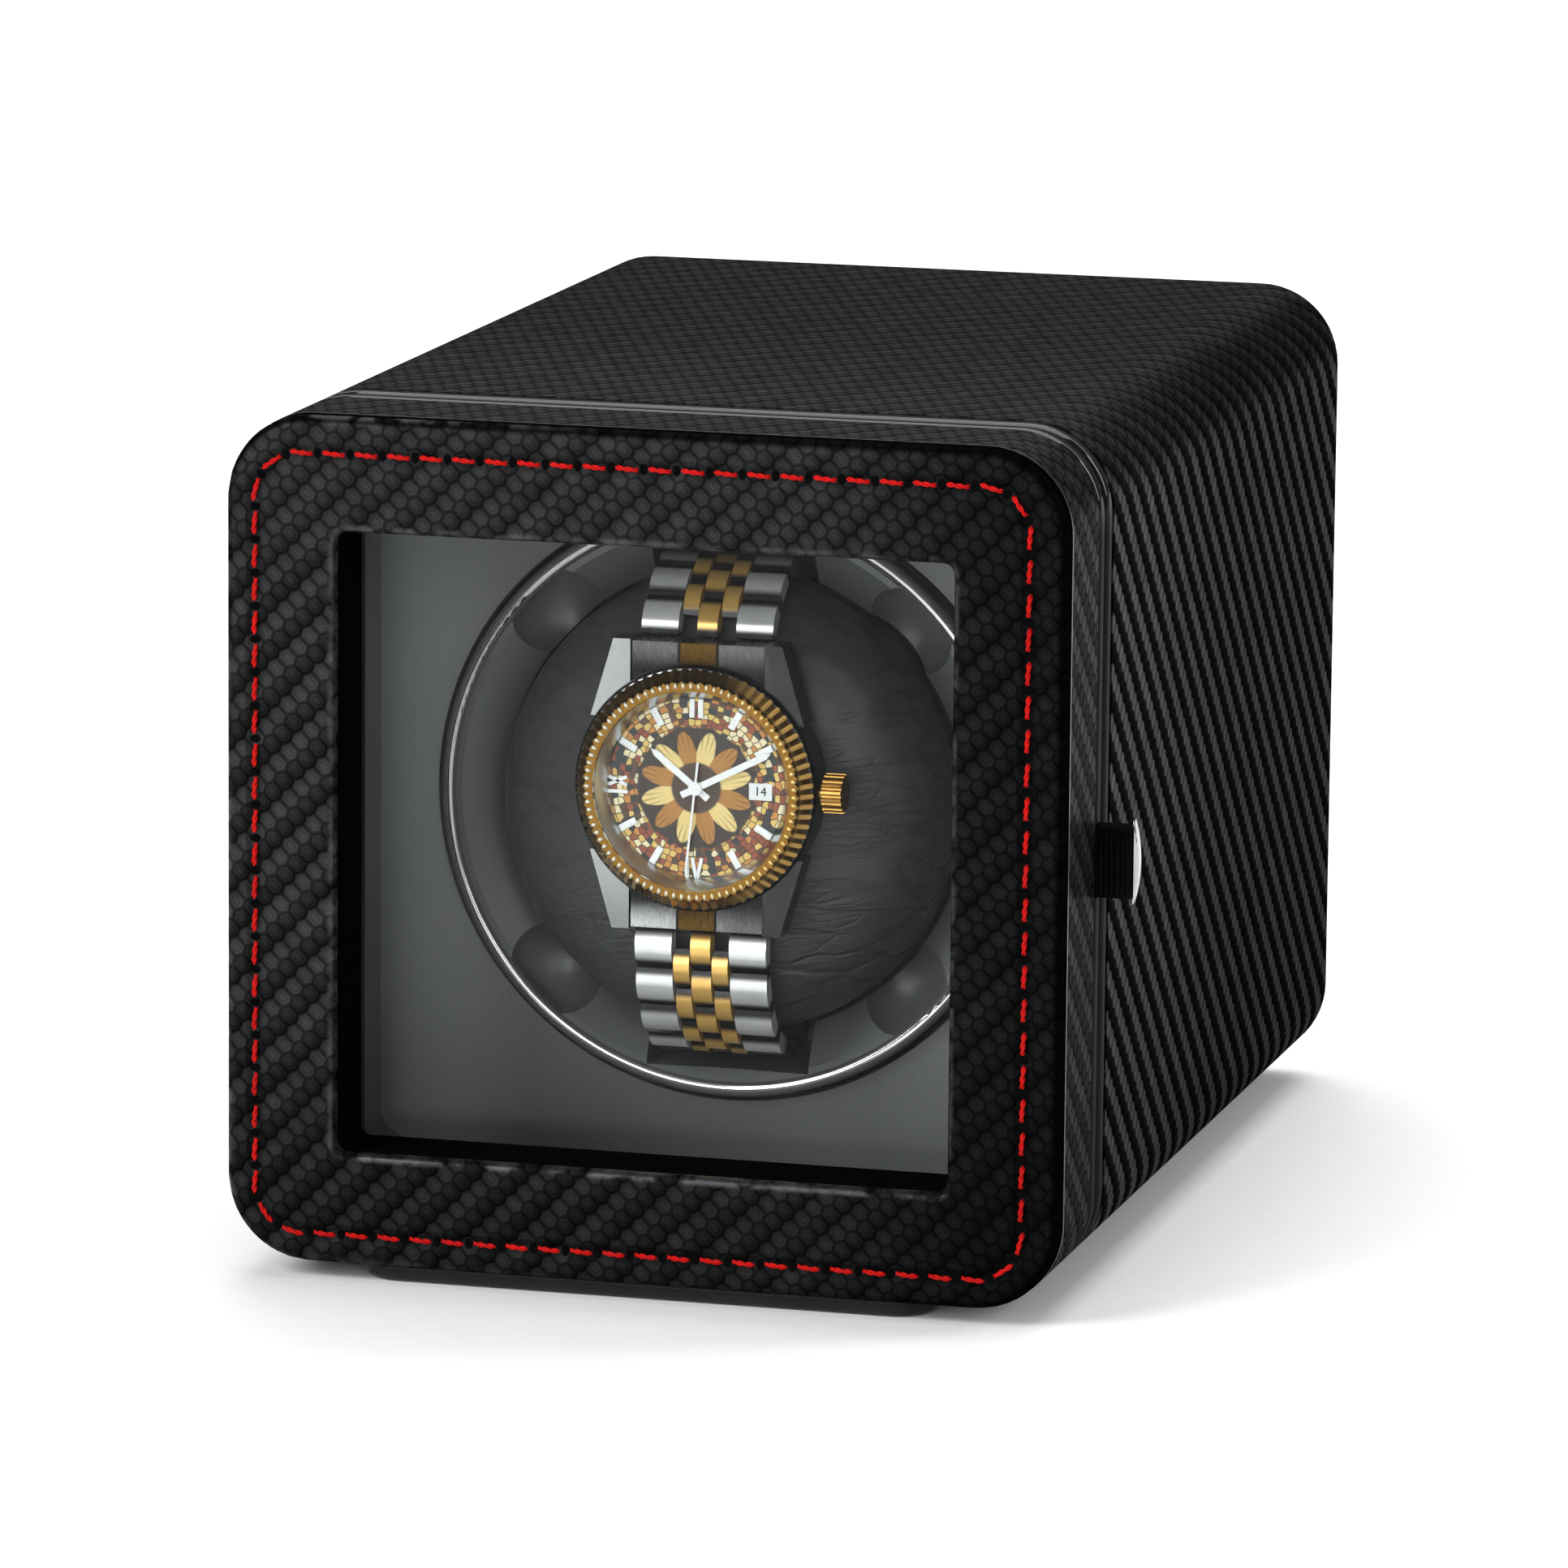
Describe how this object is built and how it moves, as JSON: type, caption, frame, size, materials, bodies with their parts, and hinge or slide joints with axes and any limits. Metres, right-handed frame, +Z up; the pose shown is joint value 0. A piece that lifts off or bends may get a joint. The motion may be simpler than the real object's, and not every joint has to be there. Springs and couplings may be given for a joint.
{
  "type": "watch winder box",
  "caption": "Leather-covered box with a hinged glass door; inside, a motor-driven cup slowly turns a cushion that carries a wristwatch.",
  "frame": {"origin": "on the resting face of the base pad, under the middle of the box", "axes": "+X to the right seen from the door, +Y from the door to the back, +Z up"},
  "size_m": [0.1344, 0.1906, 0.1274],
  "materials": {
    "case_leather": "embossed black leather",
    "face_leather": "embossed black leather with red stitching",
    "gloss_trim": "polished black bead",
    "board": "raw fibreboard",
    "lining": "short grey pile",
    "fascia": "satin dark grey",
    "base": "black felt-covered board",
    "black_plastic": "moulded black",
    "window": "clear",
    "crystal": "clear polished",
    "chrome": "polished",
    "steel": "bright",
    "bronze": "sintered",
    "gold": "polished gold plate",
    "gear_plastic": "natural acetal",
    "magnet": "nickel plated",
    "circuit": "green solder mask",
    "wire": "insulated lead",
    "cushion": "soft black leather",
    "foam": "firm moulded core",
    "dial": "warm lacquer"
  },
  "bodies": {
    "case": {"case_shell": "board", "case_leather": "case_leather", "case_trim": "gloss_trim", "compartment_lining": "lining", "fascia_panel": "fascia", "fascia_cleat": "board", "corner_posts": "board", "back_panel": "black_plastic", "back_screws": "steel", "base_pad": "base", "drive_plate": "black_plastic", "drive_plate_screws": "steel", "bearing_housing": "black_plastic", "bearing_screws": "steel", "shaft_bushes": "bronze", "motor_gearbox": "steel", "motor_can": "steel", "motor_screws": "steel", "motor_leads": "wire", "control_board": "circuit", "board_components": "black_plastic", "board_standoffs": "bronze", "power_jack": "black_plastic", "mode_switch": "steel", "case_magnets": "magnet", "case_hinge_leaves": "steel", "hinge_pins": "steel"},
    "door": {"door_frame": "board", "door_face_leather": "face_leather", "door_band_leather": "case_leather", "door_trim": "gloss_trim", "window_liner": "black_plastic", "window_pane": "window", "pane_retainer": "black_plastic", "retainer_screws": "steel", "door_strikes": "magnet", "door_hinge_leaves": "steel", "pull_tab": "black_plastic", "pull_tab_cap": "chrome"},
    "rotor": {"rotor_cup": "black_plastic", "rotor_ring": "chrome", "rotor_shaft": "steel", "drive_gear": "gear_plastic", "shaft_clip": "steel"},
    "pinion": {"motor_shaft": "steel", "motor_pinion": "bronze"},
    "knob": {"mode_knob": "black_plastic", "mode_spindle": "steel"},
    "pillow": {"pillow_cushion": "cushion", "pillow_core": "foam", "watch_case": "steel", "watch_bezel": "gold", "watch_dial": "dial", "watch_hands": "gold", "watch_crystal": "crystal", "watch_crown": "gold", "bracelet_outer_links": "steel", "bracelet_end_links": "steel", "bracelet_centre_links": "gold", "bracelet_clasp": "steel"}
  },
  "joints": [
    {"name": "door_swing", "type": "hinge", "parent": "case", "child": "door", "pos_m": [-0.063, -0.06775, 0.0649], "axis": [0, 0, -1], "range_deg": [0, 110]},
    {"name": "rotor_spin", "type": "hinge", "parent": "case", "child": "rotor", "pos_m": [0, 0.0075, 0.0649], "axis": [0, 1, 0], "continuous": true},
    {"name": "pinion_spin", "type": "hinge", "parent": "case", "child": "pinion", "pos_m": [0, -0.0075, 0.0334], "axis": [0, 1, 0], "continuous": true},
    {"name": "knob_turn", "type": "hinge", "parent": "case", "child": "knob", "pos_m": [-0.018, 0.0925, 0.0789], "axis": [0, 1, 0], "range_deg": [0, 150]},
    {"name": "pillow_pull", "type": "slide", "parent": "rotor", "child": "pillow", "axis": [0, -1, 0], "range_m": [0, 0.008]}
  ],
  "couplings": [
    {"joint": "pinion_spin", "follows": "rotor_spin", "ratio": -3.2}
  ]
}
